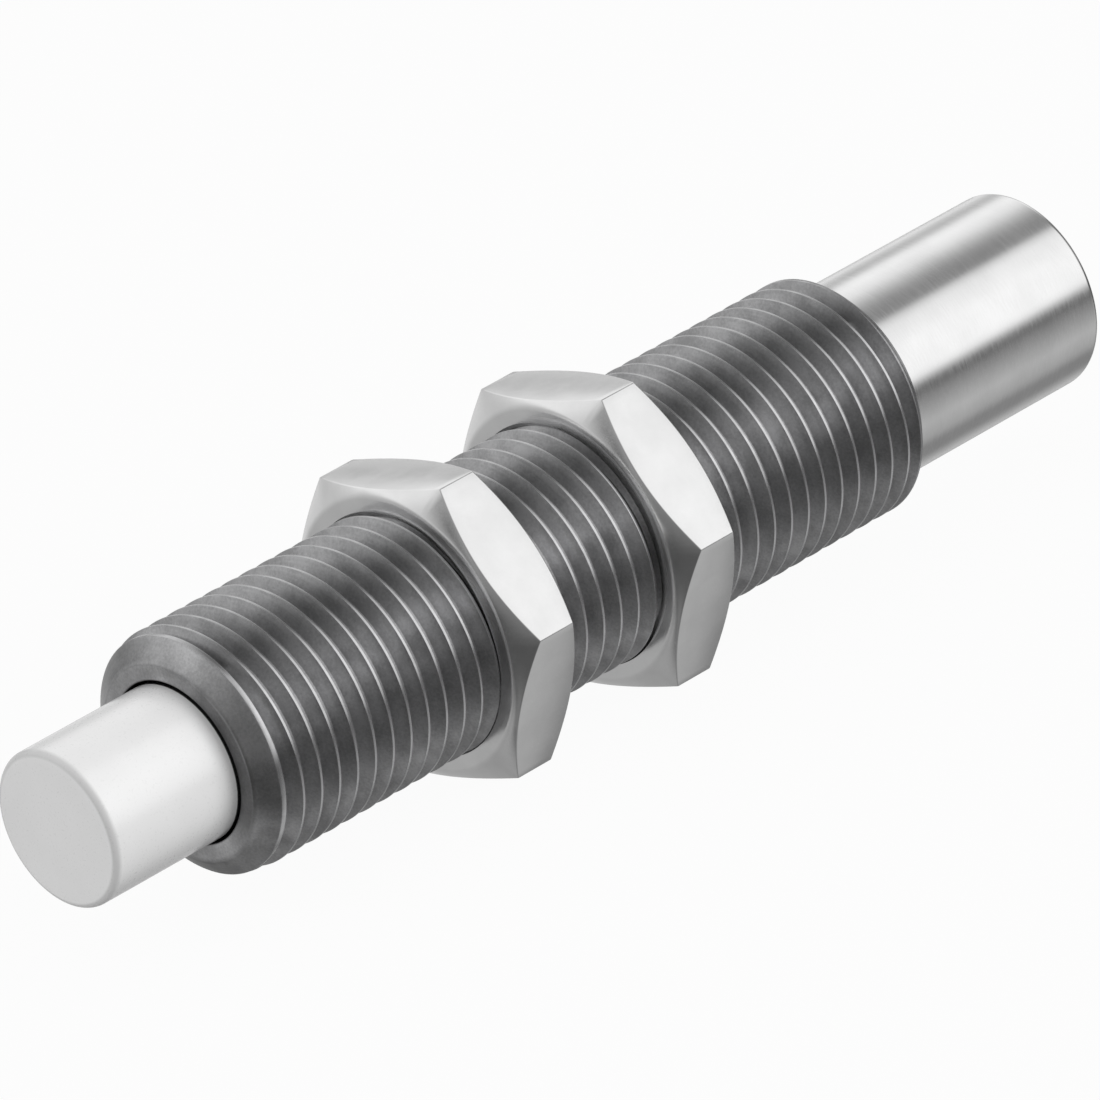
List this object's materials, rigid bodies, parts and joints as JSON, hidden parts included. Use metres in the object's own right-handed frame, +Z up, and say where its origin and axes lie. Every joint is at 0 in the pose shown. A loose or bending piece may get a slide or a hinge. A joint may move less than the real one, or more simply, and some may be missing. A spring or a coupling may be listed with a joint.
{
  "type": "industrial shock absorber",
  "caption": "Threaded cylindrical shock absorber with a sprung plastic buffer in its front bore, thin hexagon lock nuts and a smooth rear end.",
  "frame": {"origin": "centre of the front stop face, on the axis", "axes": "+X along the axis from the front stop face towards the rear end, +Z up, square to the nuts' upper flats"},
  "size_m": [0.0842, 0.022, 0.019],
  "materials": {
    "housing_steel": "dark steel thread, smooth bright tail",
    "plated_steel": "satin plated steel",
    "buffer_plastic": "smooth off-white plastic",
    "rod_steel": "ground and polished",
    "spring_steel": "bright spring steel",
    "inner_steel": "turned steel",
    "bronze": "turned bronze",
    "seal_rubber": "black rubber",
    "foam": "dark closed-cell foam",
    "ring_plastic": "filled plastic"
  },
  "bodies": {
    "housing": {"threaded_housing": "housing_steel", "retaining_ring": "spring_steel", "cover_washer": "inner_steel", "rod_guide": "bronze", "rod_wiper": "seal_rubber", "guide_seal_ring": "seal_rubber", "rod_seal": "seal_rubber", "accumulator_foam": "foam", "pressure_tube": "inner_steel", "tube_end_plug": "inner_steel", "return_spring": "spring_steel", "fill_plug": "plated_steel", "fill_plug_seal": "seal_rubber"},
    "plunger": {"buffer_cap": "buffer_plastic", "piston_rod": "rod_steel", "piston": "inner_steel", "piston_ring": "ring_plastic", "piston_nut": "inner_steel"},
    "check_valve": {"check_valve_disc": "spring_steel"},
    "front_nut": {"front_lock_nut": "plated_steel"},
    "rear_nut": {"rear_lock_nut": "plated_steel"}
  },
  "joints": [
    {"name": "plunger_slide", "type": "slide", "parent": "housing", "child": "plunger", "axis": [1, 0, 0], "range_m": [0, 0.01], "stiffness_N_per_m": 580, "springref_m": -0.008, "deforming": ["return_spring"]},
    {"name": "check_valve_lift", "type": "slide", "parent": "plunger", "child": "check_valve", "axis": [1, 0, 0], "range_m": [0, 0.0004]},
    {"name": "front_nut_travel", "type": "slide", "parent": "housing", "child": "front_nut", "axis": [1, 0, 0], "range_m": [-0.0165, 0.003]},
    {"name": "rear_nut_travel", "type": "slide", "parent": "housing", "child": "rear_nut", "axis": [1, 0, 0], "range_m": [-0.003, 0.018]}
  ]
}
